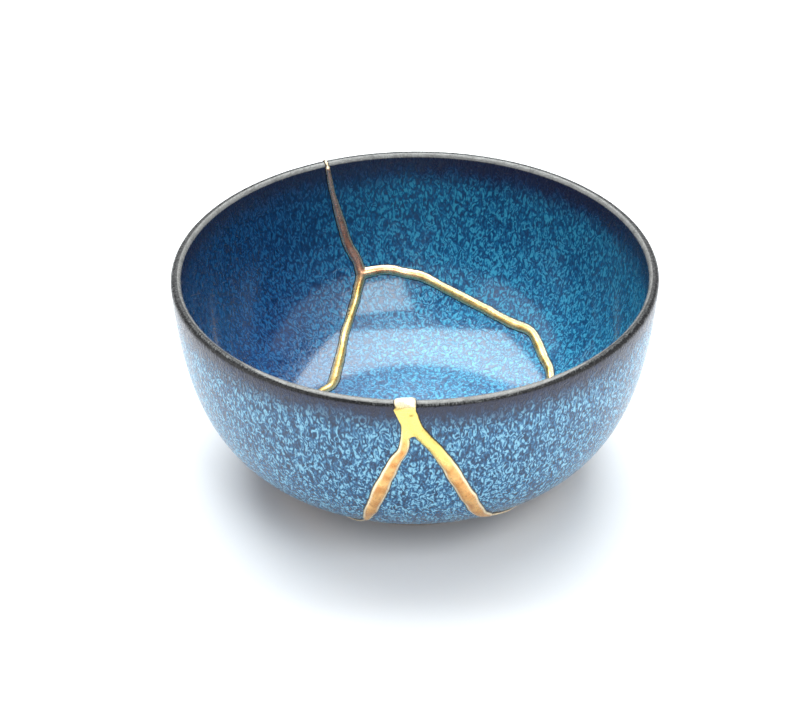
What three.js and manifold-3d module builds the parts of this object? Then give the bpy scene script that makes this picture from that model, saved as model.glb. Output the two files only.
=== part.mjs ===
// A small glazed stoneware bowl that broke into three shards and was mended with gold lacquer.
// Millimetres, +Z up. The origin is the middle of the foot ring, on the surface the bowl stands on.
// The front, where the repair runs down from the chipped rim, faces -Y.
import * as THREE from "three";
import { mergeVertices } from "three/addons/utils/BufferGeometryUtils.js";
import Module from "manifold-3d";

const wasm = await Module();
wasm.setup();

// Driving dimensions of the bowl
const RIM_RADIUS = 75;
const BOWL_HEIGHT = 72;
const WALL = 4.2; // from the floor up to the belly
const LIP = 3.2; // at the rim, whose top is a half round
const FOOT_RADIUS = 37; // outer radius where the ring touches the table
const FOOT_WIDTH = 4.5;
const FOOT_HEIGHT = 6.5; // table to the wall's outer face
const FOOT_DRAFT = 1; // the ring narrows by this much towards the wall
const FOOT_BEVEL = 0.6;
const FOOT_RECESS = 2.4; // table to the underside, at the middle

// Driving dimensions of the repair
const CRACK_WIDTH = 0.9; // gold lacquer inside the wall
const JOINT_GAP = 0.3; // between lacquer and glaze
const SEAM_INSIDE = 3.2; // width of the raised line inside the bowl
const SEAM_OUTSIDE = 3.6; // and outside
const SEAM_HEIGHT = 0.8; // crown of the line above its edges
const CHIP_WIDTH = 5.2; // piece missing from the front of the rim, at the top
const CHIP_TIP = 3.4; // and where it runs out into the two cracks
const PAD_WIDTH = 7.5; // lacquer over that chip
const PAD_HEIGHT = 1;
const PAD_DROP = 2.2; // how far the pad hangs down each face of the lip
const WRAP_DROP = 1.5; // the same for the plain line over the back of the rim

// The belly's curve as shares of the bowl: two handles between the foot ring and the rim
const LOW_HANDLE = { out: 0.76, up: 0.0905 };
const HIGH_HANDLE = { out: 0.972, up: 0.425 };
const THINNING_STARTS = 0.6; // share of the way up the wall

// Facets
const TURN_STEPS = 56;
const BELLY_STEPS = 11;
const INSIDE_STEPS = 18;
const INSIDE_CROWDING = 0.4; // brings the steps closer where the inside curves most
const UNDERSIDE_STEPS = 2;
const LIP_STEPS = 4;
const CROWN_STEPS = 4;
const WRAP_STEPS = 6;
const STATION = 7.5; // along a crack
const OVERRUN = 2; // how far a cutter passes the wall

// The cracks, on a map of the bowl: the middle of the floor is 0, 0, the top of the foot ring is a
// circle of radius FOOT_MAP_SHARE, and the rim is the unit circle. In between, the distance is measured
// along the wall. from and to scale the raised line's width.
const FOOT_MAP_SHARE = 0.3064;
const FORK_BACK = [-0.18, 0.631]; // where three cracks meet inside, at the back
const RIM_BACK = onRim(113); // where the back crack leaves the rim
const RIM_FRONT = onRim(-92.8); // the middle of the chip
const CRACKS = [
  {
    // from the back of the rim down to the fork
    points: [RIM_BACK, [-0.353, 0.864], [-0.315, 0.812], [-0.277, 0.76], [-0.241, 0.708], [-0.201, 0.67],
      FORK_BACK],
    from: 0.5,
    to: 1,
  },
  {
    // from the fork to the right, over the back of the floor, then forwards under the bowl's front
    points: [FORK_BACK, [-0.102, 0.651], [-0.038, 0.647], [0.04, 0.626], [0.13, 0.575], [0.224, 0.507],
      [0.317, 0.428], [0.367, 0.386], [0.382, 0.34], [0.392, 0.281], [0.402, 0.221], [0.392, 0.08],
      [0.364, -0.06], [0.332, -0.191], [0.293, -0.301], [0.261, -0.376], [0.237, -0.431], [0.192, -0.502]],
    from: 1,
    to: 1,
  },
  {
    // from the fork down across the floor's left, round the foot ring
    points: [FORK_BACK, [-0.187, 0.567], [-0.2, 0.492], [-0.213, 0.428], [-0.219, 0.362], [-0.227, 0.291],
      [-0.232, 0.255], [-0.243, 0.217], [-0.271, 0.183], [-0.306, 0.121], [-0.332, 0.04], [-0.339, -0.05],
      [-0.327, -0.141], [-0.293, -0.236], [-0.244, -0.316], [-0.193, -0.386], [-0.158, -0.456],
      [-0.14, -0.537]],
    from: 0.85,
    to: 1,
  },
  {
    // left leg of the front fork, from the chip down to the belly
    points: [[-0.056, -0.985], [-0.049, -0.951], [-0.046, -0.918], [-0.05, -0.873], [-0.075, -0.832],
      [-0.106, -0.744], [-0.129, -0.63], [-0.14, -0.537]],
    from: 0.85,
    to: 1,
  },
  {
    // right leg of the front fork
    points: [[-0.024, -0.985], [-0.01, -0.951], [0.022, -0.912], [0.059, -0.872], [0.109, -0.783],
      [0.144, -0.677], [0.17, -0.557], [0.192, -0.502]],
    from: 0.85,
    to: 1,
  },
];
const CHIP_TIP_PLACE = [-0.018, -0.925];

function onRim(degrees) {
  const azimuth = THREE.MathUtils.degToRad(degrees);
  return [Math.cos(azimuth), Math.sin(azimuth)];
}

// The wall's outer face in section, from the middle of the underside to the rim, as a curve of
// radius and height. The foot ring hangs below it.
const footTop = FOOT_RADIUS - FOOT_DRAFT;
const lipRadius = LIP / 2;
const lipHeight = BOWL_HEIGHT - lipRadius;
const bellyRise = BOWL_HEIGHT - FOOT_HEIGHT;
const footJoint = new THREE.Vector2(footTop, FOOT_HEIGHT);
const lowHandle = new THREE.Vector2(
  footTop + LOW_HANDLE.out * (RIM_RADIUS - footTop),
  FOOT_HEIGHT + LOW_HANDLE.up * bellyRise,
);
const highHandle = new THREE.Vector2(
  HIGH_HANDLE.out * RIM_RADIUS,
  FOOT_HEIGHT + HIGH_HANDLE.up * bellyRise,
);
const bellySlope = (lowHandle.y - footJoint.y) / (lowHandle.x - footJoint.x);
const undersideBend = footTop - (FOOT_HEIGHT - FOOT_RECESS) / bellySlope;
const wallLine = new THREE.CurvePath();
wallLine.add(
  new THREE.QuadraticBezierCurve(
    new THREE.Vector2(0, FOOT_RECESS),
    new THREE.Vector2(undersideBend, FOOT_RECESS),
    footJoint,
  ),
);
const rimEnd = new THREE.Vector2(RIM_RADIUS, lipHeight);
wallLine.add(new THREE.CubicBezierCurve(footJoint, lowHandle, highHandle, rimEnd));
const wallLength = wallLine.getLength();
const footShare = wallLine.curves[0].getLength() / wallLength;

// The turned faces are flats, and inside the bowl their middles stand this far in from the true circle
const flatRise = RIM_RADIUS * (1 - Math.cos(Math.PI / TURN_STEPS));

function thicknessAt(share) {
  return THREE.MathUtils.mapLinear(Math.max(share, THINNING_STARTS), THINNING_STARTS, 1, WALL, LIP);
}

// A point of the section at a share of the way to the rim, at a depth below the outer face.
// Past the rim the wall is taken to run straight on.
function sectionPoint(share, depth) {
  const on = Math.min(share, 1);
  const upwards = wallLine.getTangentAt(on);
  const inwards = new THREE.Vector2(-upwards.y, upwards.x);
  const face = wallLine.getPointAt(on).addScaledVector(upwards, (share - on) * wallLength);
  return face.addScaledVector(inwards, depth);
}

// From the middle of the lip's half round, the way to a share of the turn from outside to inside
function lipDirection(share) {
  return new THREE.Vector2(Math.cos(Math.PI * share), Math.sin(Math.PI * share));
}

function turned(section, azimuth) {
  return new THREE.Vector3(section.x * Math.cos(azimuth), section.x * Math.sin(azimuth), section.y);
}

// How far up the wall a place on the map is, as a share of the way to the rim
function shareAt(place) {
  const out = place.length();
  if (out < FOOT_MAP_SHARE) return (footShare * out) / FOOT_MAP_SHARE;
  return THREE.MathUtils.mapLinear(out, FOOT_MAP_SHARE, 1, footShare, 1);
}

function wallPoint(place, depth) {
  return turned(sectionPoint(shareAt(place), depth), place.angle());
}

// Solids from meshes, and back
function solidOf(geometry) {
  geometry.deleteAttribute("normal");
  geometry.deleteAttribute("uv");
  const merged = mergeVertices(geometry, 1e-4);
  const corners = [];
  for (let i = 0; i < merged.index.count; i += 3) {
    const [a, b, c] = merged.index.array.slice(i, i + 3);
    if (a !== b && b !== c && c !== a) corners.push(a, b, c);
  }
  const triVerts = new Uint32Array(corners);
  return new wasm.Manifold(
    new wasm.Mesh({ numProp: 3, vertProperties: merged.attributes.position.array, triVerts }),
  );
}

function meshOf(solid, name, material) {
  const made = solid.getMesh();
  const geometry = new THREE.BufferGeometry();
  geometry.setAttribute("position", new THREE.BufferAttribute(made.vertProperties, 3));
  geometry.setIndex(new THREE.BufferAttribute(made.triVerts, 1));
  geometry.computeVertexNormals();
  const mesh = new THREE.Mesh(geometry, material);
  mesh.name = name;
  return mesh;
}

// A closed solid through rings of points. Each ring is the same section, which flat draws
// anticlockwise, as the last ring is seen from beyond it.
function loft(rings, flat) {
  const size = flat.length;
  const positions = rings.flatMap((ring) => ring.flatMap((point) => point.toArray()));
  const index = [];
  for (let row = 0; row + 1 < rings.length; row++) {
    for (let i = 0; i < size; i++) {
      const here = row * size + i;
      const next = row * size + ((i + 1) % size);
      index.push(here, next, here + size, next, next + size, here + size);
    }
  }
  const last = (rings.length - 1) * size;
  for (const cap of THREE.ShapeUtils.triangulateShape(flat, [])) {
    const turnsBack = THREE.ShapeUtils.isClockWise(cap.map((i) => flat[i]));
    const [a, b, c] = turnsBack ? cap.reverse() : cap;
    index.push(last + a, last + b, last + c, c, b, a);
  }
  const geometry = new THREE.BufferGeometry();
  geometry.setAttribute("position", new THREE.Float32BufferAttribute(positions, 3));
  geometry.setIndex(index);
  return solidOf(geometry);
}

// The whole bowl, before it broke: one turned section, closed on the axis
function wholeBowl() {
  const ringInner = FOOT_RADIUS - FOOT_WIDTH;
  const section = [];
  for (let i = 0; i <= UNDERSIDE_STEPS; i++) {
    const face = wallLine.getPointAt((footShare * i * ringInner) / (UNDERSIDE_STEPS * footTop));
    section.push(new THREE.Vector2(Math.min(face.x, ringInner), face.y));
  }
  section.push(new THREE.Vector2(ringInner, FOOT_BEVEL));
  section.push(new THREE.Vector2(ringInner + FOOT_BEVEL, 0));
  section.push(new THREE.Vector2(FOOT_RADIUS - FOOT_BEVEL, 0));
  section.push(new THREE.Vector2(FOOT_RADIUS, FOOT_BEVEL));
  for (let i = 0; i <= BELLY_STEPS; i++) {
    section.push(sectionPoint(THREE.MathUtils.lerp(footShare, 1, i / BELLY_STEPS), 0));
  }
  const lipMiddle = sectionPoint(1, lipRadius);
  for (let i = 1; i < LIP_STEPS; i++) {
    section.push(lipMiddle.clone().addScaledVector(lipDirection(i / LIP_STEPS), lipRadius));
  }
  for (let i = 0; i <= INSIDE_STEPS; i++) {
    const even = 1 - i / INSIDE_STEPS;
    const share = even + (INSIDE_CROWDING * Math.sin(2 * Math.PI * even)) / (2 * Math.PI);
    section.push(sectionPoint(share, thicknessAt(share)));
  }
  section[0].x = 0;
  section.at(-1).x = 0;
  return solidOf(new THREE.LatheGeometry(section, TURN_STEPS).rotateX(Math.PI / 2));
}

// Stations along a crack: where each is on the map, and which way is sideways there. The crack can be
// run on past its two ends by a length.
function stationsOf(points, before, after) {
  const line = new THREE.CatmullRomCurve3(
    points.map(([x, y]) => new THREE.Vector3(x, y, 0)),
    false,
    "centripetal",
  );
  const count = Math.max(2, Math.ceil((line.getLength() * wallLength) / STATION));
  const spaced = line.getSpacedPoints(count).map(({ x, y }) => new THREE.Vector2(x, y));
  const beyond = (end, next, length) => end.clone().sub(next).setLength(length / wallLength).add(end);
  const places = [...spaced];
  if (before) places.unshift(beyond(spaced[0], spaced[1], before));
  if (after) places.push(beyond(spaced.at(-1), spaced.at(-2), after));
  const middles = places.map((place) => wallPoint(place, WALL / 2));
  return places.map((place, i) => {
    const along = middles[Math.min(i + 1, places.length - 1)].clone().sub(middles[Math.max(i - 1, 0)]);
    const inwards = wallPoint(place, 1).sub(wallPoint(place, 0));
    const share = THREE.MathUtils.clamp((i - (before ? 1 : 0)) / count, 0, 1);
    return { place, share, side: along.cross(inwards).normalize() };
  });
}

// A solid that follows a crack. sectionAt gives its section at a station, as points of across and
// depth below the outer face.
function along(stations, sectionAt) {
  const sections = stations.map(sectionAt);
  const rings = stations.map(({ place, side }, i) =>
    sections[i].map(([across, depth]) => wallPoint(place, depth).addScaledVector(side, across)),
  );
  return loft(rings, sections[0].map(([across, depth]) => new THREE.Vector2(-depth, -across)));
}

function slab(stations, widthAt, overrun) {
  return along(stations, ({ place, share }) => {
    const half = widthAt(share) / 2;
    const deep = thicknessAt(shareAt(place)) + overrun;
    return [[half, -overrun], [-half, -overrun], [-half, deep], [half, deep]];
  });
}

// The outline of a raised line: across and up, from one edge over the crown to the other
function crown(width, height) {
  return Array.from({ length: CROWN_STEPS + 1 }, (_, i) => {
    const angle = (Math.PI * i) / CROWN_STEPS;
    return [(width / 2) * Math.cos(angle), height * Math.sin(angle)];
  });
}

// Lacquer through the wall with a raised line on both faces
function seam(stations, scaleAt) {
  return along(stations, ({ place, share }) => {
    const half = CRACK_WIDTH / 2;
    const outer = -JOINT_GAP;
    const inner = thicknessAt(shareAt(place)) + flatRise + JOINT_GAP;
    return [
      ...crown(SEAM_OUTSIDE * scaleAt(share), SEAM_HEIGHT).map(([across, up]) => [across, outer - up]),
      [-half, outer],
      [-half, inner],
      ...crown(SEAM_INSIDE * scaleAt(share), SEAM_HEIGHT).map(([across, up]) => [-across, inner + up]),
      [half, inner],
      [half, outer],
    ];
  });
}

// The raised line where it wraps over the lip, from the outer face to the inner one. Across it, it
// follows the rim's circle.
function lipWrap([x, y], width, height, drop) {
  const azimuth = Math.atan2(y, x);
  const low = 1 - drop / wallLength;
  const lipMiddle = sectionPoint(1, lipRadius);
  const stations = [(up) => sectionPoint(low, -JOINT_GAP - up)];
  for (let i = 0; i <= WRAP_STEPS; i++) {
    const outwards = lipDirection(i / WRAP_STEPS);
    stations.push((up) => lipMiddle.clone().addScaledVector(outwards, lipRadius + JOINT_GAP + up));
  }
  stations.push((up) => sectionPoint(low, thicknessAt(low) + flatRise + JOINT_GAP + up));
  const outline = crown(width, height);
  const rings = stations.map((pointAt) =>
    outline.map(([across, up]) => turned(pointAt(up), azimuth - across / RIM_RADIUS)),
  );
  return loft(rings, outline.map(([across, up]) => new THREE.Vector2(up, -across)));
}

// Each crack gives a cutter for the shards, and the lacquer that fills it with room to spare
const ROOTED = JOINT_GAP + SEAM_HEIGHT / 4; // how far a plain fill runs into the raised lines
const fills = [];
const cutters = [];

function cut(points, fromRim, widthAt) {
  const stations = stationsOf(points, fromRim ? lipRadius + OVERRUN : JOINT_GAP, JOINT_GAP);
  cutters.push(slab(stations, (share) => widthAt(share) + 2 * JOINT_GAP, OVERRUN));
}

for (const { points, from, to } of CRACKS) {
  cut(points, points[0] === RIM_BACK, () => CRACK_WIDTH);
  fills.push(seam(stationsOf(points, 0, 0), (share) => THREE.MathUtils.lerp(from, to, share)));
}

// The back crack's lacquer runs up through the lip, under the line that wraps over it
const underWrap = stationsOf([RIM_BACK, CRACKS[0].points[1]], lipRadius, 0);
fills.push(slab(underWrap, () => CRACK_WIDTH, 0));
fills.push(lipWrap(RIM_BACK, SEAM_INSIDE * CRACKS[0].from, SEAM_HEIGHT, WRAP_DROP));

// The chip at the front is a wedge of lacquer under a thick pad
const chip = [RIM_FRONT, CHIP_TIP_PLACE];
const chipWidth = (share) => THREE.MathUtils.lerp(CHIP_WIDTH, CHIP_TIP, share);
cut(chip, true, chipWidth);
fills.push(slab(stationsOf(chip, lipRadius, 0), chipWidth, ROOTED));
fills.push(lipWrap(RIM_FRONT, PAD_WIDTH, PAD_HEIGHT, PAD_DROP));

const joined = (solids) => solids.reduce((sum, solid) => sum.add(solid));
const SLIVER = 0.001; // cubic millimetres: rounding can leave a loose sliver of less where two fills meet
const lacquer = wasm.Manifold.compose(joined(fills).decompose().filter((body) => body.volume() > SLIVER));
const shards = wholeBowl().subtract(joined(cutters)).decompose();
const middleOf = (solid) => {
  const { min, max } = solid.boundingBox();
  return (min[0] + max[0]) / 2;
};
const standing = shards.find((shard) => shard.boundingBox().min[2] < FOOT_BEVEL);
const others = shards.filter((shard) => shard !== standing).sort((a, b) => middleOf(a) - middleOf(b));

const glaze = new THREE.MeshStandardMaterial({ color: 0x3f7fae, roughness: 0.15, metalness: 0 });
const gold = new THREE.MeshStandardMaterial({ color: 0xe6ba55, roughness: 0.35, metalness: 0.8 });
const bowl = new THREE.Group();
bowl.add(meshOf(standing, "shard_base", glaze));
bowl.add(meshOf(others[0], "shard_left", glaze));
bowl.add(meshOf(others.at(-1), "shard_right", glaze));
bowl.add(meshOf(lacquer, "gold_seam", gold));

export default bowl;
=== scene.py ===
# %% [markdown]
# A mended bowl, dressed for its portrait
#
# The object is a blue glazed stoneware bowl, 15 cm across. It once broke into three large shards, and a
# mender joined them with lacquer dusted with gold, in raised lines inside and outside, with a thick pad
# where a chip was missing from the front of the rim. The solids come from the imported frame. This lesson
# gives the bowl a smooth turned body, cuts it along its cracks, lays soft beads of gold over them, and
# paints the glaze and the gold with patterns made from noise. All lengths are in metres.

# %% Load the frame
import math

import bpy
import numpy as np
from mathutils import Matrix, Vector, noise


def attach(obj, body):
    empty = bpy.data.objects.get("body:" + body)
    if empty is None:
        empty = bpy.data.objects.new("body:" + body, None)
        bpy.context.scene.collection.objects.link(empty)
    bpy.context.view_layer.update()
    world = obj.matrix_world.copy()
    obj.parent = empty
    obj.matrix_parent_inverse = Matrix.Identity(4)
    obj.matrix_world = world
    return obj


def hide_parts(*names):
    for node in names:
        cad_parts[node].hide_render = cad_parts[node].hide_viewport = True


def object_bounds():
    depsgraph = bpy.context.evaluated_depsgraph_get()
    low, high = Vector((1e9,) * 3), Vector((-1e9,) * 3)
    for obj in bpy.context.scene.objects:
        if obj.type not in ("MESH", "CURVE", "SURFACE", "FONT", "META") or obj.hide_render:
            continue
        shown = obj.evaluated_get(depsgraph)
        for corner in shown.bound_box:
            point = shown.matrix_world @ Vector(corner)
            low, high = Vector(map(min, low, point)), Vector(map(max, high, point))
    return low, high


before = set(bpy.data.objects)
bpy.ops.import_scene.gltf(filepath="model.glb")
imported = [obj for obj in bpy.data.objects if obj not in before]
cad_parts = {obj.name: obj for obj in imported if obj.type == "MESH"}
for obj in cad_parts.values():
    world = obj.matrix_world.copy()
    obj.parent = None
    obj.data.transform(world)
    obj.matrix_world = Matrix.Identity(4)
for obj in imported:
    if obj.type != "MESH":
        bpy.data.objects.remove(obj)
CAD_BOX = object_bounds()
MM = 0.001
print("CAD box", [[round(c, 5) for c in corner] for corner in CAD_BOX])

# %% [markdown]
# The camera comes first, because everything is judged through it. The photograph looks down at the bowl
# from 33 degrees above the table, through a long lens that keeps the rim's ellipse calm. Only the lens,
# the distance and the point looked at are set, and the picture is taken to be 794 by 701.

# %% Camera
CAMERA_ELEVATION = math.radians(33.2)
CAMERA_ROLL = math.radians(-0.63)
CAMERA_DISTANCE = 0.75
LOOKED_AT = Vector((-0.0057, 0, 0.0411))
LENS = 108.07
SENSOR_WIDTH = 36
NEAREST_SEEN = 10 * MM

back = Vector((0, -math.cos(CAMERA_ELEVATION), math.sin(CAMERA_ELEVATION)))
turn = Matrix.Rotation(math.pi / 2 - CAMERA_ELEVATION, 4, "X") @ Matrix.Rotation(CAMERA_ROLL, 4, "Z")
bpy.ops.object.camera_add()
camera = bpy.context.object
camera.name = "portrait_camera"
camera.matrix_world = Matrix.Translation(LOOKED_AT + CAMERA_DISTANCE * back) @ turn
camera.data.sensor_width = SENSOR_WIDTH
camera.data.lens = LENS
camera.data.clip_start = NEAREST_SEEN
bpy.context.scene.camera = camera
print("camera at", [round(c, 4) for c in camera.location])

# %% [markdown]
# A potter throws the bowl as one turned wall, so one curve gives all of it: the middle of the underside,
# the foot ring's joint, the belly and the rim. Two Bezier stretches draw the wall's outer face in section,
# as radius and height, with the same handles as the solids. Any place in the wall is then a share of the
# way up and a depth below that face. Numbers along the curve are looked up in a fine table.

# %% The wall in section
RIM_RADIUS = (CAD_BOX[1].x - CAD_BOX[0].x) / 2
BOWL_HEIGHT = 72 * MM
WALL = 4.2 * MM
LIP = 3.2 * MM
FOOT_RADIUS = 37 * MM
FOOT_WIDTH = 4.5 * MM
FOOT_HEIGHT = 6.5 * MM
FOOT_DRAFT = 1 * MM
FOOT_RECESS = 2.4 * MM
FOOT_TOP = FOOT_RADIUS - FOOT_DRAFT
LIP_RADIUS = LIP / 2
LOW_HANDLE = (0.76, 0.0905)
HIGH_HANDLE = (0.972, 0.425)
THINNING_STARTS = 0.6


def bezier(corners, count):
    """Points of a curve through its control points, by blending neighbours again and again."""
    t = np.linspace(0, 1, count)[:, None]
    levels = [np.array(c, float) * np.ones((count, 1)) for c in corners]
    while len(levels) > 1:
        levels = [a * (1 - t) + b * t for a, b in zip(levels, levels[1:])]
    return levels[0]


low = (FOOT_TOP + LOW_HANDLE[0] * (RIM_RADIUS - FOOT_TOP),
       FOOT_HEIGHT + LOW_HANDLE[1] * (BOWL_HEIGHT - FOOT_HEIGHT))
high = (HIGH_HANDLE[0] * RIM_RADIUS, FOOT_HEIGHT + HIGH_HANDLE[1] * (BOWL_HEIGHT - FOOT_HEIGHT))
belly_slope = (low[1] - FOOT_HEIGHT) / (low[0] - FOOT_TOP)
bend = FOOT_TOP - (FOOT_HEIGHT - FOOT_RECESS) / belly_slope
underside = bezier([(0, FOOT_RECESS), (bend, FOOT_RECESS), (FOOT_TOP, FOOT_HEIGHT)], 600)
belly = bezier([(FOOT_TOP, FOOT_HEIGHT), low, high, (RIM_RADIUS, BOWL_HEIGHT - LIP_RADIUS)], 1800)
LINE = np.concatenate([underside, belly[1:]])
steps = np.linalg.norm(np.diff(LINE, axis=0), axis=1)
WALL_LENGTH = steps.sum()
LINE_SHARE = np.concatenate([[0], np.cumsum(steps)]) / WALL_LENGTH
LINE_UP = np.gradient(LINE, LINE_SHARE, axis=0)
LINE_UP /= np.linalg.norm(LINE_UP, axis=1)[:, None]
FOOT_SHARE = LINE_SHARE[len(underside) - 1]


def section_at(share, depth):
    """Radius and height at shares of the way up the wall, at depths below its outer face."""
    share = np.asarray(share, float)
    on = np.clip(share, 0, 1)
    radius, height, out, up = (np.interp(on, LINE_SHARE, column) for column in (*LINE.T, *LINE_UP.T))
    past = (share - on) * WALL_LENGTH
    return radius + out * past - up * depth, height + up * past + out * depth


def thickness_at(share):
    """The wall thins from the belly to the lip."""
    return WALL + (LIP - WALL) * (np.clip(share, THINNING_STARTS, 1) - THINNING_STARTS) / (1 - THINNING_STARTS)


print(f"wall {WALL_LENGTH / MM:.1f} mm long, foot at {FOOT_SHARE:.4f} of it")

# %% [markdown]
# The first helpers do what a modeller's hands do: let go of everything, add a primitive under a name,
# and apply a modifier. An operator acts on all that is selected, so each piece starts with nothing
# selected. The closed outline of the wall is drawn as a chain of short extrusions, as one would click it
# in with E, and Spin turns it round the upright axis like a potter's wheel.

# %% Hand tools
def let_go():
    if bpy.context.object and bpy.context.object.mode != "OBJECT":
        bpy.ops.object.mode_set(mode="OBJECT")
    bpy.ops.object.select_all(action="DESELECT")


def pick(*objects):
    let_go()
    for obj in objects:
        obj.select_set(True)
    bpy.context.view_layer.objects.active = objects[-1]
    return objects[-1]


def apply_modifier(obj, kind, **settings):
    pick(obj)
    modifier = obj.modifiers.new(kind.lower(), kind)
    for name, value in settings.items():
        setattr(modifier, name, value)
    bpy.ops.object.modifier_apply(modifier=modifier.name)
    return obj


def join(name, objects):
    whole = pick(*objects)
    bpy.ops.object.join()
    whole.name = whole.data.name = name
    return whole


def places_of(obj):
    flat = np.empty(len(obj.data.vertices) * 3)
    obj.data.vertices.foreach_get("co", flat)
    return flat.reshape(-1, 3)


def move_to(obj, places):
    obj.data.vertices.foreach_set("co", np.asarray(places).ravel())
    obj.data.update()


def draw_line(name, points):
    """A chain of edges through points, clicked in one after the other."""
    let_go()
    bpy.ops.mesh.primitive_plane_add(size=MM)
    bpy.ops.object.mode_set(mode="EDIT")
    bpy.ops.mesh.merge(type="CENTER")
    bpy.ops.transform.translate(value=points[0])
    for here, there in zip(points, points[1:]):
        bpy.ops.mesh.extrude_region_move(TRANSFORM_OT_translate={"value": np.subtract(there, here)})
    bpy.ops.object.mode_set(mode="OBJECT")
    line = bpy.context.object
    line.name = line.data.name = name
    return line


# %% [markdown]
# The wall's outline runs from the middle of the underside, round the foot ring, up the belly, over the
# half round lip and down the inside to the middle of the floor. Small flats at the foot's edges are where
# the potter's knife softened them.

# %% Turn the whole bowl
TURN_STEPS = 288
FOOT_BEVEL = 0.6 * MM
FOOT_EDGE_STEPS = 4
LIP_STEPS = 12
MERGED = 0.01 * MM


def wall_outline():
    inner_foot = FOOT_RADIUS - FOOT_WIDTH
    shares = np.linspace(0, FOOT_SHARE * inner_foot / FOOT_TOP, 16)
    outline = [*zip(*section_at(shares, 0))]
    outline[-1] = (inner_foot, outline[-1][1])
    for middle, start in ((inner_foot + FOOT_BEVEL, 180), (FOOT_RADIUS - FOOT_BEVEL, 270)):
        for step in range(FOOT_EDGE_STEPS + 1):
            angle = math.radians(start + 90 * step / FOOT_EDGE_STEPS)
            outline.append((middle + FOOT_BEVEL * math.cos(angle), FOOT_BEVEL * (1 + math.sin(angle))))
    outline += [*zip(*section_at(np.linspace(FOOT_SHARE, 1, 44), 0))]
    lip_middle = section_at(1, LIP_RADIUS)
    for angle in np.linspace(0, math.pi, LIP_STEPS + 1)[1:-1]:
        outline.append((lip_middle[0] + LIP_RADIUS * math.cos(angle),
                        lip_middle[1] + LIP_RADIUS * math.sin(angle)))
    shares = np.linspace(1, 0, 60)
    outline += [*zip(*section_at(shares, thickness_at(shares)))]
    outline[0] = (0, outline[0][1])
    outline[-1] = (0, outline[-1][1])
    return [(float(radius), 0, float(height)) for radius, height in outline]


bowl = draw_line("bowl", wall_outline())
pick(bowl)
bpy.ops.object.mode_set(mode="EDIT")
bpy.ops.mesh.select_all(action="SELECT")
bpy.ops.mesh.spin(steps=TURN_STEPS, angle=2 * math.pi, center=(0, 0, 0), axis=(0, 0, 1))
bpy.ops.mesh.select_all(action="SELECT")
bpy.ops.mesh.remove_doubles(threshold=MERGED)
bpy.ops.mesh.normals_make_consistent(inside=False)
bpy.ops.object.mode_set(mode="OBJECT")
print("whole bowl", len(bowl.data.vertices), "vertices")

# %% [markdown]
# The cracks are planned on a flat map of the bowl: the middle of the floor is (0, 0), the rim is the unit
# circle, and the distance between them is measured along the wall. One path on the map serves both faces,
# because a crack runs straight through the wall. A smooth curve passes through each crack's few points.

# %% Map of the cracks
FORK_BACK = (-0.18, 0.631)
RIM_BACK = (math.cos(math.radians(113)), math.sin(math.radians(113)))
RIM_FRONT = (math.cos(math.radians(-92.8)), math.sin(math.radians(-92.8)))
CHIP_TIP = (-0.018, -0.925)
CRACKS = {
    "back": [RIM_BACK, (-0.353, 0.864), (-0.315, 0.812), (-0.277, 0.76), (-0.241, 0.708), (-0.201, 0.67),
             FORK_BACK],
    "right": [FORK_BACK, (-0.102, 0.651), (-0.038, 0.647), (0.04, 0.626), (0.13, 0.575), (0.224, 0.507),
              (0.317, 0.428), (0.367, 0.386), (0.382, 0.34), (0.392, 0.281), (0.402, 0.221), (0.392, 0.08),
              (0.364, -0.06), (0.332, -0.191), (0.293, -0.301), (0.261, -0.376), (0.237, -0.431),
              (0.192, -0.502)],
    "left": [FORK_BACK, (-0.187, 0.567), (-0.2, 0.492), (-0.213, 0.428), (-0.219, 0.362), (-0.227, 0.291),
             (-0.232, 0.255), (-0.243, 0.217), (-0.271, 0.183), (-0.306, 0.121), (-0.332, 0.04),
             (-0.339, -0.05), (-0.327, -0.141), (-0.293, -0.236), (-0.244, -0.316), (-0.193, -0.386),
             (-0.158, -0.456), (-0.14, -0.537)],
    "front_left": [(-0.056, -0.985), (-0.049, -0.951), (-0.046, -0.918), (-0.05, -0.873), (-0.075, -0.832),
                   (-0.106, -0.744), (-0.129, -0.63), (-0.14, -0.537)],
    "front_right": [(-0.024, -0.985), (-0.01, -0.951), (0.022, -0.912), (0.059, -0.872), (0.109, -0.783),
                    (0.144, -0.677), (0.17, -0.557), (0.192, -0.502)],
}


def smooth_path(points, spacing):
    """Evenly spaced map places along a smooth curve through the points."""
    points = np.array(points, float)
    ends = np.concatenate([[2 * points[0] - points[1]], points, [2 * points[-1] - points[-2]]])
    knots = np.concatenate([[0], np.cumsum(np.linalg.norm(np.diff(ends, axis=0), axis=1) ** 0.5)])
    fine = []
    for i in range(1, len(ends) - 2):
        t = np.linspace(knots[i], knots[i + 1], 40, endpoint=False)[:, None]
        p, k = ends[i - 1:i + 3], knots[i - 1:i + 3]
        a = [(k[j + 1] - t) / (k[j + 1] - k[j]) * p[j] + (t - k[j]) / (k[j + 1] - k[j]) * p[j + 1]
             for j in range(3)]
        b = [(k[j + 2] - t) / (k[j + 2] - k[j]) * a[j] + (t - k[j]) / (k[j + 2] - k[j]) * a[j + 1]
             for j in range(2)]
        fine.append((k[2] - t) / (k[2] - k[1]) * b[0] + (t - k[1]) / (k[2] - k[1]) * b[1])
    fine = np.concatenate([*fine, points[-1:]])
    run = np.concatenate([[0], np.cumsum(np.linalg.norm(np.diff(fine, axis=0), axis=1))])
    count = max(3, round(run[-1] * WALL_LENGTH / spacing)) + 1
    even = np.linspace(0, run[-1], count)
    return np.stack([np.interp(even, run, fine[:, 0]), np.interp(even, run, fine[:, 1])], 1)


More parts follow.
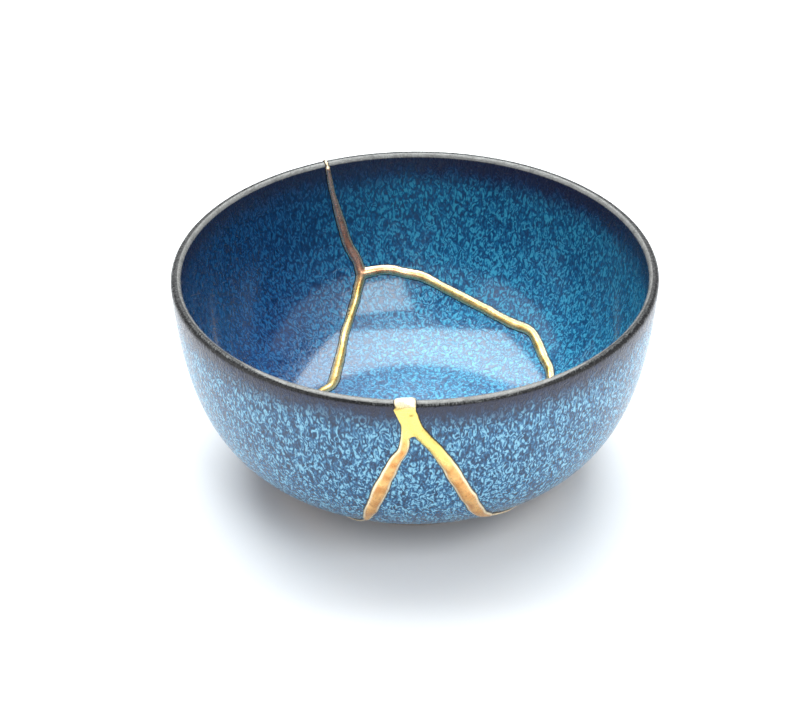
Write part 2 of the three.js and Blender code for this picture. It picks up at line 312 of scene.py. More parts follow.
def lengthen(path, before, after):
    """The path run straight on past its two ends by lengths."""
    first, last = path[0] - path[1], path[-1] - path[-2]
    start = path[:1] + first / np.linalg.norm(first) * before / WALL_LENGTH
    end = path[-1:] + last / np.linalg.norm(last) * after / WALL_LENGTH
    return np.concatenate([start] * (before > 0) + [path] + [end] * (after > 0))


def wall_points(path, depth):
    """Points in the wall at map places."""
    share = np.linalg.norm(path, axis=-1)
    angle = np.arctan2(path[..., 1], path[..., 0])
    radius, height = section_at(share, depth)
    return np.stack([radius * np.cos(angle), radius * np.sin(angle), height], -1)


def sideways(path):
    """The unit vector across a path, in the face of the wall."""
    middles = wall_points(path, WALL / 2)
    forwards = np.gradient(middles, axis=0)
    inwards = wall_points(path, MM) - wall_points(path, 0)
    across = np.cross(forwards, inwards)
    return across / np.linalg.norm(across, axis=1)[:, None]


def run_of(path):
    """Length along the outer face, from the path's start to each of its places."""
    return np.concatenate([[0], np.cumsum(np.linalg.norm(np.diff(wall_points(path, 0), axis=0), axis=1))])


for name, points in CRACKS.items():
    print(name, f"{run_of(smooth_path(points, MM))[-1] / MM:.0f} mm")

# %% [markdown]
# To break the bowl, a thin blade follows each crack through the wall. A blade starts as a flat grid, with
# its rows along the crack and its columns round the blade's section. Its vertices move to their places in
# the wall, the grid's two long edges are merged into a closed tube, and a Boolean takes the tube away from
# the bowl. What is left falls into three shards, as the real bowl did. A modelling tool such as Knife
# could follow the cracks too, but it needs a mouse, and it leaves no room for the lacquer.

# %% Break the bowl
CRACK_WIDTH = 0.9 * MM
CHIP_WIDTH = 5.2 * MM
CHIP_TIP_WIDTH = 3.4 * MM
OVERRUN = 2 * MM
BLADE_SPACING = 1.5 * MM
OVERLAP = 0.3 * MM
SMOOTH_BELOW = math.radians(35)


def wrapped_grid(name, rows, columns, place):
    """A grid whose vertices place(row, column) moves from the flat to where they belong. Its rows and
    columns count from 0."""
    let_go()
    bpy.ops.mesh.primitive_grid_add(x_subdivisions=columns - 1, y_subdivisions=rows - 1, size=1)
    grid = bpy.context.object
    grid.name = grid.data.name = name
    flat = places_of(grid) + 0.5
    row = np.rint(flat[:, 1] * (rows - 1)).astype(int)
    column = np.rint(flat[:, 0] * (columns - 1)).astype(int)
    move_to(grid, place(row, column))
    return grid


def blade(name, path, width):
    """A sheet through the wall along a path, thickened to a width that may change along it."""
    across = sideways(path)
    share = np.linalg.norm(path, axis=1)
    rows = len(path)
    half = np.broadcast_to(width, rows) / 2
    corners = ((-1, -OVERRUN), (1, -OVERRUN), (1, OVERRUN), (-1, OVERRUN), (-1, -OVERRUN))

    def place(row, column):
        side, over = (np.array(part)[column] for part in zip(*corners))
        deep = np.where(over > 0, thickness_at(share[row]) + over, over)
        return wall_points(path[row], deep) + (side * half[row])[:, None] * across[row]

    return close_tube(wrapped_grid(name, rows, len(corners), place))


def close_tube(tube):
    """Joins a wrapped grid's first and last columns, caps its ends and turns its faces outwards."""
    pick(tube)
    bpy.ops.object.mode_set(mode="EDIT")
    bpy.ops.mesh.select_all(action="SELECT")
    bpy.ops.mesh.remove_doubles(threshold=0.001 * MM)
    bpy.ops.mesh.select_all(action="DESELECT")
    bpy.ops.mesh.select_mode(type="EDGE")
    bpy.ops.mesh.select_non_manifold()
    bpy.ops.mesh.edge_face_add()
    bpy.ops.mesh.select_all(action="SELECT")
    bpy.ops.mesh.normals_make_consistent(inside=False)
    bpy.ops.object.mode_set(mode="OBJECT")
    return tube


blades = []
for name, points in CRACKS.items():
    past_start = LIP_RADIUS + OVERRUN if name == "back" else OVERLAP
    path = lengthen(smooth_path(points, BLADE_SPACING), past_start, OVERLAP)
    blades.append(blade(name + "_blade", path, CRACK_WIDTH))
chip_path = lengthen(smooth_path([RIM_FRONT, CHIP_TIP], BLADE_SPACING), LIP_RADIUS + OVERRUN, OVERLAP)
chip_share = np.linspace(0, 1, len(chip_path))
blades.append(blade("chip_blade", chip_path, CHIP_WIDTH + (CHIP_TIP_WIDTH - CHIP_WIDTH) * chip_share))
for cutter in blades:
    apply_modifier(bowl, "BOOLEAN", operation="DIFFERENCE", solver="EXACT", object=cutter)
    print("cut", cutter.name, len(bowl.data.vertices), "vertices")
for cutter in blades:
    bpy.data.objects.remove(cutter)

pick(bowl)
bpy.ops.object.mode_set(mode="EDIT")
bpy.ops.mesh.select_all(action="SELECT")
bpy.ops.mesh.separate(type="LOOSE")
bpy.ops.object.mode_set(mode="OBJECT")
fallen = sorted(bpy.context.selected_objects, key=lambda o: -len(o.data.vertices))
print("pieces", [(o.name, len(o.data.vertices)) for o in fallen])
shards = fallen[:3]
for crumb in fallen[3:]:
    bpy.data.objects.remove(crumb)
standing = min(shards, key=lambda o: places_of(o)[:, 2].min())
left, right = sorted((o for o in shards if o != standing), key=lambda o: places_of(o)[:, 0].mean())
for obj, name in ((standing, "base"), (left, "left"), (right, "right")):
    obj.name = obj.data.name = f"{name}_shard"
    pick(obj)
    bpy.ops.object.shade_smooth_by_angle(angle=SMOOTH_BELOW)

# %% [markdown]
# The glaze is painted with two sets of blues: paler outside, as painted light from the bright table, and
# darker inside. Each point of a shard keeps how deep it lies in the wall, 0 outside and 1 inside, as an
# attribute for the glaze to read.

# %% Inside or outside
def depth_in_wall(places):
    flat = np.stack([np.hypot(places[:, 0], places[:, 1]), places[:, 2]], 1)
    shares = np.linspace(0, 1, 700)
    outer, inner = (np.stack(section_at(shares, depth), 1) for depth in (0, thickness_at(shares)))
    to_outer, to_inner = (np.sqrt(((flat[:, None] - face) ** 2).sum(2).min(1)) for face in (outer, inner))
    return to_outer / (to_outer + to_inner)


for obj in shards:
    depth = np.concatenate([depth_in_wall(part) for part in np.array_split(places_of(obj), 12)])
    kept = obj.data.attributes.new("depth_in_wall", "FLOAT", "POINT")
    kept.data.foreach_set("value", depth.astype(np.float32))
    print(obj.name, f"{(depth > 0.5).mean():.0%} of its points lie inside")

# %% [markdown]
# The lacquer lies over each crack as a soft bead, thicker here and thinner there, because it was laid
# with a brush and pulled itself round before it set. Each bead is a tube whose section has a crown on
# each face of the wall and a thin web between them. Its width and its height wander a little along the
# way, by noise. Where beads meet, they have to flow into each other, so all tubes are joined and remeshed
# as one skin, which is then smoothed. A Boolean union would leave sharp creases where they meet.

# %% Beads of lacquer
BEAD_INSIDE = 3.3 * MM
BEAD_OUTSIDE = 4 * MM
BEAD_HEIGHT = 1.15 * MM
BEAD_SPACING = 0.8 * MM
SUNK = 0.6 * MM
SKIRT = 0.45 * MM
SKIRT_HEIGHT = 0.12 * MM
CROWN_STEPS = 18
VOXEL = 0.4 * MM


def wander(places, scale, seed):
    """Smooth noise from -1 to 1 at places."""
    return np.array([noise.noise(Vector((p[0] / scale, p[1] / scale, p[2] / scale + seed))) for p in places])


def crown(width, height):
    """Half of a bead's section, from one edge to the other, as places across and heights up. A thin skirt
    of bare lacquer runs along each edge of the rounded gold, and the very edge dips into the glaze."""
    half = width / 2 + SKIRT
    across = half * np.cos(np.linspace(0, np.pi, CROWN_STEPS + 1))
    inner = np.clip(np.abs(across) / (width / 2), 0, 1)
    up = SKIRT_HEIGHT + height * (1 - inner ** 2.2) ** 0.75
    up[[0, -1]] = -SUNK
    return across, up


def bead(name, path, scale):
    """Lacquer through the wall along a path, with a crown on each face."""
    share = np.linalg.norm(path, axis=1)
    across = sideways(path)
    at = wall_points(path, 0)
    wide = scale * (1 + 0.14 * wander(at, 7 * MM, 3) + 0.08 * wander(at, 2.6 * MM, 9))
    lean = 0.3 * MM * wander(at, 6 * MM, 21)
    tall = scale ** 0.5 * (1 + 0.15 * wander(at, 5 * MM, 40))
    over_out, up_out = crown(BEAD_OUTSIDE, BEAD_HEIGHT)
    over_in, up_in = crown(BEAD_INSIDE, BEAD_HEIGHT)
    half_web = CRACK_WIDTH / 2
    over = np.array([*over_out, -half_web, -half_web, *-over_in, half_web, half_web, over_out[0]])
    deep = np.array([*-up_out, SUNK, -SUNK, *up_in, -SUNK, SUNK, -up_out[0]])
    crowned = np.array([True] * len(over_out) + [False] * 2 + [True] * len(over_in) + [False] * 2 + [True])
    inner = np.array([False] * (len(over_out) + 1) + [True] * (len(over_in) + 2) + [False] * 2)

    def place(row, column):
        sideward = np.where(crowned[column], over[column] * wide[row] + lean[row], over[column])
        depth = np.where(crowned[column], deep[column] * tall[row], deep[column])
        depth = depth + np.where(inner[column], thickness_at(share[row]), 0)
        return wall_points(path[row], depth) + sideward[:, None] * across[row]

    return close_tube(wrapped_grid(name, len(path), len(over), place))


BEAD_SCALES = {"back": (0.5, 0.62, 0.85, 0.95, 1.05),
               "right": (1.05, 0.95, 0.95, 1, 1, 0.8, 0.7, 0.6, 0.45, 0.35),
               "left": (1, 0.85, 0.95, 1, 0.9, 0.8, 0.7, 0.55, 0.35, 0.2),
               "front_left": (0.3, 0.62, 0.82, 0.95, 1, 0.95, 0.5),
               "front_right": (0.85, 0.9, 0.95, 1.05, 1.1, 1, 0.5)}
beads = []
for name, points in CRACKS.items():
    path = smooth_path(points, BEAD_SPACING)
    widths = BEAD_SCALES[name]
    scale = np.interp(np.linspace(0, 1, len(path)), np.linspace(0, 1, len(widths)), widths)
    beads.append(bead(name + "_bead", path, scale))

# %% [markdown]
# At the rim the lacquer wraps over the lip: a narrow line at the back, which runs on a little way down the
# inside, and at the front a thick pad over the missing chip. Both are tubes that run over the lip from the
# outer face towards the inner one. The chip itself is filled by a plug between the shards, and below the
# pad a broad neck of lacquer covers it, before the line forks.

# %% Over the lip
PAD_WIDTH = 7.2 * MM
PAD_HEIGHT = 1 * MM
PAD_TURN = (12, 122)
PAD_SHARES = (0.9, 1, 0.95)
NECK = [RIM_FRONT, (-0.032, -0.96), (-0.012, -0.918)]
NECK_WIDTHS = (6.6 * MM, 5 * MM, 4.8 * MM)
NECK_HEIGHT = 0.75 * MM
UNDER_PAD = 0.6 * MM
WRAP_WIDTH = 1.716 * MM
WRAP_HEIGHT = 0.4 * MM
WRAP_TURN = (20, 180)
WRAP_DROP = 3 * MM


def lip_wrap(name, place_on_rim, width, height, turn, width_share=(1, 1, 1), drop=0):
    """A bead over the lip, through a turn in degrees from the outer face over the top. It can run on down
    the inner face by a drop. Its width goes through three shares along the way."""
    azimuth = math.atan2(place_on_rim[1], place_on_rim[0])
    lip_middle = np.array(section_at(1, LIP_RADIUS))
    stations = []
    for angle in np.radians(np.linspace(*turn, 19)):
        out = np.array([math.cos(angle), math.sin(angle)])
        stations.append((lip_middle + LIP_RADIUS * out, out))
    if drop:
        for share in np.linspace(1, 1 - drop / WALL_LENGTH, 5)[1:]:
            foot = np.array(section_at(share, thickness_at(share)))
            out = np.array(section_at(share, thickness_at(share) + MM)) - foot
            stations.append((foot, out / np.linalg.norm(out)))
    feet, outs = (np.array(part) for part in zip(*stations))
    count = len(stations)
    over, up = crown(2, 1)
    over, up = np.append(over, over[0]) / (1 + SKIRT), np.append(up, up[0])
    widths = np.interp(np.linspace(0, 1, count), (0, 0.5, 1), width_share) * width
    heights = height * np.sin(np.pi * (np.arange(count) + 1) / (count + 1)) ** 0.4

    def place(row, column):
        rise = np.where(up[column] < 0.01, -SUNK, up[column] * heights[row])
        flat = feet[row] + rise[:, None] * outs[row]
        angle = azimuth - over[column] * widths[row] / 2 / RIM_RADIUS
        return np.stack([flat[:, 0] * np.cos(angle), flat[:, 0] * np.sin(angle), flat[:, 1]], -1)

    return close_tube(wrapped_grid(name, count, len(over), place))


def plug(name, path, width, sunk):
    """Lacquer through the wall along a path, sunk below both faces by a depth, or proud of them."""
    across = sideways(path)
    share = np.linalg.norm(path, axis=1)
    corners = ((-1, 0), (1, 0), (1, 1), (-1, 1), (-1, 0))

    def place(row, column):
        side, inner = (np.array(part)[column] for part in zip(*corners))
        depth = sunk + inner * (thickness_at(share[row]) - 2 * sunk)
        return wall_points(path[row], depth) + (side * width[row] / 2)[:, None] * across[row]

    return close_tube(wrapped_grid(name, len(path), len(corners), place))


beads.append(lip_wrap("back_wrap", RIM_BACK, WRAP_WIDTH, WRAP_HEIGHT, WRAP_TURN, drop=WRAP_DROP))
beads.append(lip_wrap("front_pad", RIM_FRONT, PAD_WIDTH, PAD_HEIGHT, PAD_TURN, PAD_SHARES))
neck_line = lengthen(smooth_path(NECK, MM), UNDER_PAD, 0)
neck_widths = np.interp(np.linspace(0, 2, len(neck_line)), range(3), NECK_WIDTHS)
beads.append(plug("neck", neck_line, neck_widths, -NECK_HEIGHT))
chip_line = smooth_path([RIM_FRONT, CHIP_TIP], MM)
chip_line = lengthen(chip_line, LIP_RADIUS, 0)
chip_widths = np.linspace(CHIP_WIDTH, CHIP_TIP_WIDTH, len(chip_line))
beads.append(plug("chip_plug", chip_line, chip_widths, 0))
back_line = lengthen(smooth_path([RIM_BACK, CRACKS["back"][1]], MM), LIP_RADIUS, 0)
beads.append(plug("back_plug", back_line, np.full(len(back_line), CRACK_WIDTH), 0))

# %% Flow the lacquer together
lacquer = join("gold_lacquer", beads)
apply_modifier(lacquer, "REMESH", mode="VOXEL", voxel_size=VOXEL)
apply_modifier(lacquer, "SMOOTH", factor=0.5, iterations=3)
pick(lacquer)
bpy.ops.object.shade_smooth()
print("lacquer", len(lacquer.data.vertices), "vertices", len(lacquer.data.polygons), "faces")

print("lacquer box", places_of(lacquer).min(0) / MM, places_of(lacquer).max(0) / MM)

# %% [markdown]
# The gold's colour is painted by how far the lacquer stands proud: where it thins out to its edge a dark line
# of bare lacquer shows, which also stands in for the shade along the bead's edge, and the proud back carries
# the painted reflection and the shoulders the painted highlight. So each point of the bead keeps how far it
# stands proud of the glaze, measured to the wall's outline in section, as an attribute that the material can
# read.

# %% How proud the lacquer stands
def rise_above_glaze(places):
    lip_middle = np.array(section_at(1, LIP_RADIUS))
    turn_over = np.linspace(0, math.pi, 41)[:, None]
    lip_round = lip_middle + LIP_RADIUS * np.concatenate([np.cos(turn_over), np.sin(turn_over)], 1)
    shares = np.linspace(0, 1, 700)
    outer = np.stack(section_at(shares, 0), 1)
    inner = np.stack(section_at(shares[::-1], thickness_at(shares[::-1])), 1)
    outline = np.concatenate([outer, lip_round[1:-1], inner])
    outwards = np.gradient(outline, axis=0)[:, ::-1] * (1, -1)
    outwards /= np.linalg.norm(outwards, axis=1)[:, None]
    flat = np.stack([np.hypot(places[:, 0], places[:, 1]), places[:, 2]], 1)
    rises = []
    for part in np.array_split(flat, 1 + len(flat) // 2000):
        nearest = ((part[:, None] - outline) ** 2).sum(2).argmin(1)
        rises.append(((part - outline[nearest]) * outwards[nearest]).sum(1))
    return np.concatenate(rises)


rise = rise_above_glaze(places_of(lacquer)) / MM
lacquer.data.attributes.new("rise", "FLOAT", "POINT").data.foreach_set("value", rise.astype(np.float32))
print("rise in mm, in tenths of the points", np.percentile(rise, range(0, 101, 10)).round(2))

# %% [markdown]
# Materials are built from nodes. These helpers place a node with its settings and wire it up, so that the
# recipes below read in order.

# %% Node tools
def new_material(name):
    material = bpy.data.materials.new(name)
    material.use_nodes = True
    tree = material.node_tree
    shader = tree.nodes["Principled BSDF"]
    return material, tree, shader


def add_node(tree, kind, inputs=None, **settings):
    """A node of a kind. inputs sets or wires its sockets by name or number."""
    node = tree.nodes.new(kind)
    for name, value in settings.items():
        setattr(node, name, value)
    for name, value in (inputs or {}).items():
        socket = node.inputs[name]
        if isinstance(value, bpy.types.NodeSocket):
            tree.links.new(value, socket)
        else:
            socket.default_value = value
    return node


def maths(tree, kind, first, second):
    return add_node(tree, "ShaderNodeMath", {0: first, 1: second}, operation=kind).outputs[0]


def stirred(tree, value, cloud, amount):
    """Value moved up and down by a noise that lies round one half."""
    return maths(tree, "ADD", value, maths(tree, "MULTIPLY", maths(tree, "SUBTRACT", cloud, 0.5), amount))


def tinted(tree, kind, colour, factor):
    """A colour times a number (SCALE) or times another colour (MULTIPLY)."""
    second = "Scale" if kind == "SCALE" else 1
    return add_node(tree, "ShaderNodeVectorMath", {0: colour, second: factor}, operation=kind).outputs[0]


def spread(tree, value, low_end, high_end, to_low=0.0, to_high=1.0):
    """Value stretched from one range to another, with soft ends."""
    inputs = {"Value": value, "From Min": low_end, "From Max": high_end, "To Min": to_low, "To Max": to_high}
    return add_node(tree, "ShaderNodeMapRange", inputs, interpolation_type="SMOOTHSTEP").outputs[0]


def blend_of(tree, share, first, second):
    mix = add_node(tree, "ShaderNodeMix", data_type="RGBA")
    for name, value in ((0, share), (6, first), (7, second)):
        if isinstance(value, bpy.types.NodeSocket):
            tree.links.new(value, mix.inputs[name])
        else:
            mix.inputs[name].default_value = value
    return mix.outputs[2]


def ramp(tree, value, stops):
    node = add_node(tree, "ShaderNodeValToRGB", {"Fac": value})
    elements = node.color_ramp.elements
    while len(elements) < len(stops):
        elements.new(0.5)
    for element, (position, colour) in zip(elements, stops):
        element.position = position
        element.color = (*colour, 1)
    return node.outputs[0]


def noise_of(tree, coordinates, scale, detail=1.0, roughness=0.5, distortion=0.0):
    inputs = {"Vector": coordinates, "Scale": scale, "Detail": detail, "Roughness": roughness,
              "Distortion": distortion}
    return add_node(tree, "ShaderNodeTexNoise", inputs).outputs["Fac"]


# %% [markdown]
# The glaze is a deep blue glass over stoneware, full of pale curls and grains where it parted while it
# melted. It ran off the lip and left it nearly black. A pale grey line on the lip's crown is a painted
# highlight, a dark line above the foot is painted shade where the belly turns under, and the lower belly is
# painted darker as painted shade. One noise, folded back and forth like a contour map, makes the curls, and
# a finer one the grain, both drawn out downwards. The height of each point decides how dark the rim is,
# with a ragged edge, and its depth in the wall chooses between the outside blues and the inside blues. The
# outside blues are paler, as painted light from the bright table, and their palest curls stand in for glints.
# Inside, the floor is painted lighter, partly as painted light and partly as glaze pooled thick there, and the
# left wall is painted darker as painted shade. Low down inside, where the glaze lies thick, a clear coat lets
# the lamps show as a bright patch.

# %% Glaze
RIM_BAND = (0.0600, 0.0690)
RIM_DARKEST = (0.0660, 0.0715)
LIP_LINE = (0.0706, 0.0711)
BELLY_SHADE = (0.036, 0.010)
# Heights of the painted shade line above the foot.
FOOT_JOINT_SHADE = (0.0142, 0.0126)
BARE_FOOT = (0.0012, 0.0008)
NEAR_BLACK = (0.006, 0.006, 0.007, 1)
BARE_CLAY = (0.36, 0.27, 0.19, 1)
# Pale grey of the painted highlight on the lip's crown.
LIP_HIGHLIGHT_GREY = (0.19, 0.185, 0.18, 1)
# The outside blues are paler than the inside ones, as painted light from the bright table; the palest stop
# also stands in for glints on the curls.
OUTSIDE_BLUES = [(0, (0.002, 0.024, 0.07)), (0.3, (0.010, 0.088, 0.21)), (0.7, (0.045, 0.2, 0.37)),
                 (1, (0.22, 0.5, 0.66))]
INSIDE_BLUES = [(0, (0.003, 0.04, 0.11)), (0.3, (0.005, 0.09, 0.21)), (0.7, (0.011, 0.16, 0.31)),
                (1, (0.032, 0.31, 0.46))]


def make_glaze():
    material, tree, shader = new_material("mottled_blue_glaze")
    here = add_node(tree, "ShaderNodeTexCoord").outputs["Object"]
    drawn = add_node(tree, "ShaderNodeMapping", {"Vector": here, "Scale": (1, 1, 0.52)}).outputs[0]
    apart = add_node(tree, "ShaderNodeSeparateXYZ", {"Vector": here})
    height = apart.outputs["Z"]
    deep = add_node(tree, "ShaderNodeAttribute", attribute_name="depth_in_wall").outputs["Fac"]
    inner = spread(tree, deep, 0.4, 0.6)

    field = noise_of(tree, drawn, 540, 1.5, 0.5, 0.5)
    curls = maths(tree, "PINGPONG", maths(tree, "MULTIPLY", field, 8.0), 1.0)
    grain = noise_of(tree, drawn, 1500, 1, 0.5, 0.6)
    level = maths(tree, "ADD", maths(tree, "MULTIPLY", curls, 0.55), grain)
    streak = spread(tree, level, 0.42, 1.14)

    # Inside, the colour is brighter lower down: partly painted light on the floor that faces the lamps, partly
    # glaze pooled thick there.
    floor_light_and_pool = spread(tree, height, 0.062, 0.010, 0.8, 1.42)
    within = tinted(tree, "SCALE", ramp(tree, streak, INSIDE_BLUES), floor_light_and_pool)
    # The inside is painted darker towards the left wall, as painted shade on the wall that faces away from the
    # light.
    painted_shade_eases_right = spread(tree, apart.outputs["X"], -0.055, 0.012)
    within = tinted(tree, "MULTIPLY", within, ramp(tree, painted_shade_eases_right, [(0, (0.08, 0.25, 0.44)), (1, (1, 1, 1))]))
    # The lower belly outside is painted darker, as painted shade from the shadowed table beneath it.
    painted_belly_shade = spread(tree, height, *BELLY_SHADE, 1, 0.74)
    outside = tinted(tree, "SCALE", ramp(tree, streak, OUTSIDE_BLUES), painted_belly_shade)
    # A dark line painted just above the foot is painted shade where the belly turns under to the foot.
    outside = blend_of(tree, spread(tree, height, *FOOT_JOINT_SHADE, 0, 0.85), outside, (0.003, 0.016, 0.045, 1))
    body = blend_of(tree, inner, outside, within)

    ragged = noise_of(tree, drawn, 260, 2.5, 0.6, 0.5)
    band_height = stirred(tree, height, ragged, 0.008)
    band_height = maths(tree, "ADD", band_height, maths(tree, "MULTIPLY", inner, 0.002))
    dark = ramp(tree, streak, [(0, (0.002, 0.01, 0.035)), (1, (0.008, 0.032, 0.1))])
    coloured = blend_of(tree, spread(tree, band_height, *RIM_BAND), body, dark)
    coloured = blend_of(tree, spread(tree, band_height, *RIM_DARKEST), coloured, (0.010, 0.011, 0.032, 1))
    lip = spread(tree, height, *LIP_LINE)
    coloured = blend_of(tree, lip, coloured, NEAR_BLACK)

    # A pale grey line on the lip's crown is a painted highlight of the lamps on the rounded lip; it sits
    # further out at the front.
    starts = spread(tree, apart.outputs["Y"], -0.070, -0.045, 0.3, 0.56)
    lip_highlight = maths(tree, "MULTIPLY", spread(tree, maths(tree, "SUBTRACT", deep, starts), 0, 0.06),
                   spread(tree, deep, 0.97, 0.88))
    lip_highlight = maths(tree, "MULTIPLY", lip_highlight, lip)
    lip_highlight = maths(tree, "MULTIPLY", lip_highlight, spread(tree, ragged, 0.25, 0.6, 0.6, 1))
    coloured = blend_of(tree, lip_highlight, coloured, LIP_HIGHLIGHT_GREY)
    bare = spread(tree, stirred(tree, height, ragged, 0.001), *BARE_FOOT)
    coloured = blend_of(tree, bare, coloured, BARE_CLAY)
    tree.links.new(coloured, shader.inputs["Base Color"])

    gloss = spread(tree, streak, 0, 1, 0.16, 0.3)
    rough = maths(tree, "MAXIMUM", gloss, maths(tree, "MULTIPLY", bare, 0.85))
    tree.links.new(rough, shader.inputs["Roughness"])
    glassy = maths(tree, "MULTIPLY", inner, spread(tree, height, 0.052, 0.036, 0, 0.86))
    tree.links.new(glassy, shader.inputs["Coat Weight"])
    shader.inputs["Coat Roughness"].default_value = 0.11
    shader.inputs["IOR"].default_value = 1.52
    bump = add_node(tree, "ShaderNodeBump", {"Strength": 0.45, "Distance": 0.0002, "Height": streak})
    tree.links.new(bump.outputs[0], shader.inputs["Normal"])
    return material


glaze = make_glaze()

# %% [markdown]
# The gold is powder on lacquer: a satin metal with fine grain. Its shoulders are pale, a painted highlight,
# and its back is painted warmer and darker, a painted reflection of the darker surroundings, with a tone that
# wanders by noise: orange outside, yellower inside, and reddish brown high up at the back. Under the pad it is
# painted lemon yellow and on the lip nearly cream, a painted reflection and highlight of the bright light
# overhead. Where it thins out to nothing, the dark lacquer shows as an outline, which also stands in for the
# shade along the bead's edge.

# %% Gold
# Tones of the bead's back: a painted reflection of darker surroundings, varied at random by noise.
OUTSIDE_CORE_REFLECTION = [(0.35, (0.64, 0.29, 0.09)), (0.65, (0.97, 0.6, 0.24))]
INSIDE_CORE_REFLECTION = [(0.35, (0.6, 0.34, 0.09)), (0.65, (0.95, 0.7, 0.3))]
HIGH_BACK_REFLECTION = [(0.35, (0.52, 0.2, 0.12)), (0.65, (0.85, 0.44, 0.3))]
SHOULDER_HIGHLIGHT = (1, 0.84, 0.58, 1)
# Lemon and cream of the gold at the front pad: painted reflection and painted highlight of the bright light
# overhead.
LEMON_REFLECTION_GOLD = (0.92, 0.7, 0.2, 1)
CREAM_HIGHLIGHT_GOLD = (1, 0.87, 0.62, 1)
BARE_LACQUER_AND_EDGE_SHADE = (0.05, 0.03, 0.02, 1)


def make_gold():
    material, tree, shader = new_material("gold_on_lacquer")
    here = add_node(tree, "ShaderNodeTexCoord").outputs["Object"]
    apart = add_node(tree, "ShaderNodeSeparateXYZ", {"Vector": here})
    height = apart.outputs["Z"]
    proud = add_node(tree, "ShaderNodeAttribute", attribute_name="rise").outputs["Fac"]
    grain = noise_of(tree, here, 1400, 2, 0.6)
    cloud = noise_of(tree, here, 230, 3, 0.55, 0.3)

    back_half = spread(tree, apart.outputs["Y"], -0.02, -0.01)
    high_up = maths(tree, "MULTIPLY", back_half, spread(tree, height, 0.027, 0.036))
    core_tone_and_reflection = blend_of(tree, back_half, ramp(tree, cloud, OUTSIDE_CORE_REFLECTION), ramp(tree, cloud, INSIDE_CORE_REFLECTION))
    core_tone_and_reflection = blend_of(tree, high_up, core_tone_and_reflection, ramp(tree, cloud, HIGH_BACK_REFLECTION))
    # Pale shoulders are a painted highlight; the proud back takes the painted reflection tones.
    core = spread(tree, stirred(tree, proud, cloud, 0.5), 0.5, 0.95)
    tone = blend_of(tree, core, SHOULDER_HIGHLIGHT, core_tone_and_reflection)

    # High at the front, under the pad and on the lip, the gold is painted lemon, and cream on top of the lip,
    # as painted reflection and highlight.
    reach = spread(tree, apart.outputs["X"], -0.006, 0.004, 0.055, 0.045)
    pad_reflection = maths(tree, "MULTIPLY", spread(tree, apart.outputs["Y"], -0.05, -0.06),
                  spread(tree, maths(tree, "SUBTRACT", height, reach), 0, 0.013))
    pale = blend_of(tree, spread(tree, height, 0.0705, 0.0722), LEMON_REFLECTION_GOLD, CREAM_HIGHLIGHT_GOLD)
    tone = blend_of(tree, pad_reflection, tone, pale)
    # The dark outline is bare lacquer and also painted shade along the bead's edge.
    tone = blend_of(tree, spread(tree, proud, 0.2, 0.45), BARE_LACQUER_AND_EDGE_SHADE, tone)
    tree.links.new(tone, shader.inputs["Base Color"])

    tree.links.new(spread(tree, height, 0.0698, 0.0718, 0.85, 0.4), shader.inputs["Metallic"])
    tree.links.new(spread(tree, grain, 0.3, 0.7, 0.24, 0.38), shader.inputs["Roughness"])
    bump = add_node(tree, "ShaderNodeBump", {"Strength": 0.3, "Distance": 0.0002, "Height": cloud})
    tree.links.new(bump.outputs[0], shader.inputs["Normal"])
    return material


gold = make_gold()

# %% Give each piece its finish and its body, and hide the solid it stands in for
for piece, material, slot, node in ((standing, glaze, "glaze", "shard_base"),
                                    (left, glaze, "glaze", "shard_left"),
                                    (right, glaze, "glaze", "shard_right"),
                                    (lacquer, gold, "gold_lacquer", "gold_seam")):
    piece.data.materials.clear()
    piece.data.materials.append(material)
    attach(piece, "root")
    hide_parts(node)

# %% [markdown]
# The photograph is a bright studio picture on a white table. The glossy floor of the bowl mirrors the
# lamps as a pale patch with a dark notch, so their places were found by following rays from the camera to
# the floor and up. A large box hangs above and behind the bowl, a small dim one over its front, and a strip
# in front on the right. Two broad windows fill the sides and a card the back. The surround is white at
# table height, which makes the sides of the bowl fade to white, and darker above.

# %% Table, light and surround
let_go()
bpy.ops.mesh.primitive_plane_add(size=6)
table = bpy.context.object
table.name = "table"
PAPER_WHITE = (0.88, 0.87, 0.89, 1)
paper, paper_tree, paper_shader = new_material("white_paper")
paper_shader.inputs["Base Color"].default_value = PAPER_WHITE
paper_shader.inputs["Roughness"].default_value = 0.6
table.data.materials.append(paper)


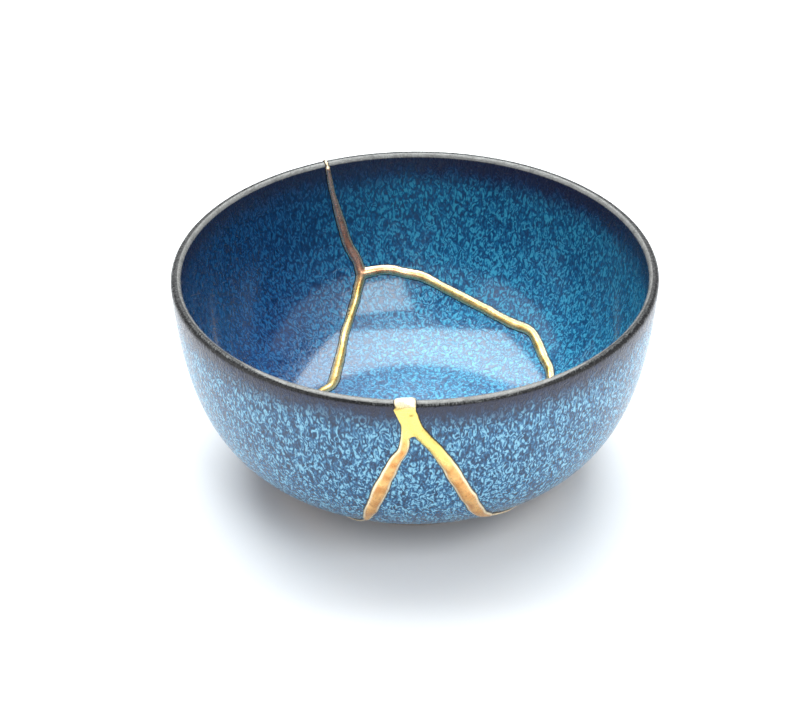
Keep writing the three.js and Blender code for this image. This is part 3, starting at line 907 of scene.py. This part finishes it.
def soft_box(name, middle, size, radiance, aim=(0, 0, 0), spin=0, colour=(1, 1, 1)):
    """A rectangular lamp as bright all over as its radiance says, turned towards a point."""
    let_go()
    bpy.ops.object.light_add(type="AREA", location=middle)
    lamp = bpy.context.object
    lamp.name = name
    lamp.data.shape = "RECTANGLE"
    lamp.data.size, lamp.data.size_y = size
    lamp.data.energy = radiance * math.pi * size[0] * size[1]
    lamp.data.color = colour
    lamp.rotation_euler = (Vector(aim) - Vector(middle)).to_track_quat("-Z", "Y").to_euler()
    lamp.rotation_euler.rotate_axis("Z", math.radians(spin))
    return lamp


BOX_HEIGHT = 0.9
COOL_WHITE = (0.95, 1, 0.99)
SKY_STRENGTH = 0.44
soft_box("overhead_box", (-0.05, 0.385, BOX_HEIGHT), (1.1, 0.93), 6.5, (-0.05, 0.385, 0), colour=COOL_WHITE)
soft_box("overhead_step", (0.185, -0.26, BOX_HEIGHT), (0.67, 0.36), 1, (0.185, -0.26, 0), colour=COOL_WHITE)
soft_box("front_strip", (0.42, -1.02, BOX_HEIGHT), (0.65, 1.15), 5.9, (0.42, -1.02, 0), 10, COOL_WHITE)
soft_box("left_window", (-1.7, -0.5, 0.9), (2.2, 1.6), 1)
soft_box("right_window", (1.7, -0.5, 0.9), (2.2, 1.6), 0.5)
soft_box("back_card", (0, 1.5, 0.9), (2, 0.7), 0.8)

world = bpy.data.worlds.new("surround")
bpy.context.scene.world = world
world.use_nodes = True
background = world.node_tree.nodes["Background"]
direction = add_node(world.node_tree, "ShaderNodeTexCoord").outputs["Generated"]
upward = add_node(world.node_tree, "ShaderNodeSeparateXYZ", {"Vector": direction}).outputs["Z"]
sky = ramp(world.node_tree, upward, [(0, (1, 1, 1)), (0.45, (0.9, 0.92, 0.95)), (0.65, (0.15, 0.16, 0.18))])
world.node_tree.links.new(sky, background.inputs["Color"])
background.inputs["Strength"].default_value = SKY_STRENGTH
bpy.context.scene.view_settings.view_transform = "Standard"
bpy.context.scene.view_settings.look = "None"
